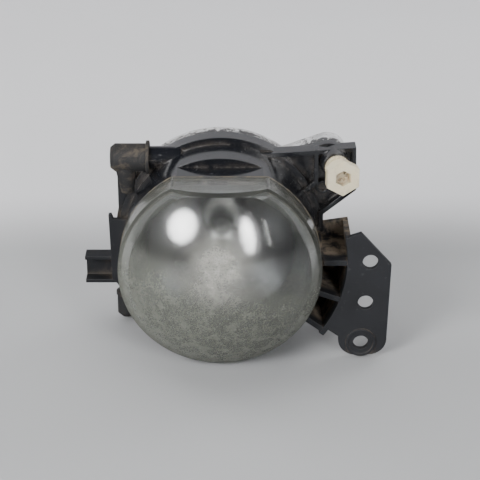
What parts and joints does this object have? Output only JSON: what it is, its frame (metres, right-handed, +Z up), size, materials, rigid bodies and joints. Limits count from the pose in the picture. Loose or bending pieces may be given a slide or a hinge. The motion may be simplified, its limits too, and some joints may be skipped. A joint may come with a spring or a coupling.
{
  "type": "fog light",
  "caption": "Round front fog light with a domed glass lens, a black housing with a side mounting plate, an aiming screw, a vent elbow and a twist-in bulb with a plug socket.",
  "frame": {"origin": "on the optical axis, at the front end of the lens rim's cylindrical part", "axes": "+X to the right seen from the front, towards the mounting plate; +Y back along the optical axis; +Z up. The lens looks along -Y."},
  "size_m": [0.1405, 0.1208, 0.095],
  "materials": {
    "black_plastic": "gloss, dusty",
    "lens_glass": "clear, lightly sandblasted",
    "glue": "dull, dusty bead",
    "bezel_silver": "metallised, satin",
    "silver_paint": "silver, flaking",
    "rubber_black": "matt",
    "zinc_steel": "zinc plated",
    "rubber_dusty": "matt, dusty",
    "duct_plastic": "matt, dusty",
    "cream_nylon": "natural nylon, slightly yellowed",
    "reflector_silver": "metallised",
    "bulb_glass": "clear",
    "tungsten": "coiled wire",
    "base_plastic": "moulded",
    "rubber_orange": "silicone",
    "terminal_brass": "tinned brass"
  },
  "bodies": {
    "lamp": {"front_housing": "black_plastic", "mount_bracket": "black_plastic", "locating_tab": "black_plastic", "lens": "lens_glass", "lens_seal": "glue", "inner_bezel": "bezel_silver", "rear_housing": "silver_paint", "housing_gasket": "rubber_black", "housing_screws": "zinc_steel", "vent_elbow": "rubber_dusty", "vent_duct": "duct_plastic", "vent_foot": "rubber_dusty", "pivot_pin_left": "zinc_steel", "pivot_pin_right": "zinc_steel"},
    "reflector": {"reflector": "reflector_silver", "rear_seal": "rubber_black", "seal_ring": "zinc_steel"},
    "aiming_screw": {"adjuster_screw": "cream_nylon", "adjuster_oring": "rubber_black", "adjuster_clip": "zinc_steel"},
    "aiming_nut": {"adjuster_nut": "cream_nylon"},
    "bulb": {"bulb_glass": "bulb_glass", "bulb_filament": "tungsten", "bulb_collar": "zinc_steel", "bulb_base": "base_plastic", "bulb_oring": "rubber_orange", "bulb_terminals": "terminal_brass"}
  },
  "joints": [
    {"name": "reflector_tilt", "type": "hinge", "parent": "lamp", "child": "reflector", "pos_m": [0, 0.046, 0], "axis": [1, 0, 0], "range_deg": [-2, 2]},
    {"name": "aiming_screw_turn", "type": "hinge", "parent": "lamp", "child": "aiming_screw", "pos_m": [0.0546, 0.02, 0.0364], "axis": [0.1392, -0.9903, 0], "range_deg": [-160, 160]},
    {"name": "nut_travel", "type": "slide", "parent": "lamp", "child": "aiming_nut", "axis": [0.1392, -0.9903, 0], "range_m": [-0.00135, 0.00135]},
    {"name": "bulb_turn", "type": "hinge", "parent": "reflector", "child": "bulb", "pos_m": [0, 0.0755, 0], "axis": [0, 1, 0], "range_deg": [0, 45]}
  ],
  "couplings": [
    {"joint": "aiming_screw_turn", "follows": "reflector_tilt", "ratio": -76.985},
    {"joint": "nut_travel", "follows": "reflector_tilt", "m_per_rad": 0.036758}
  ]
}
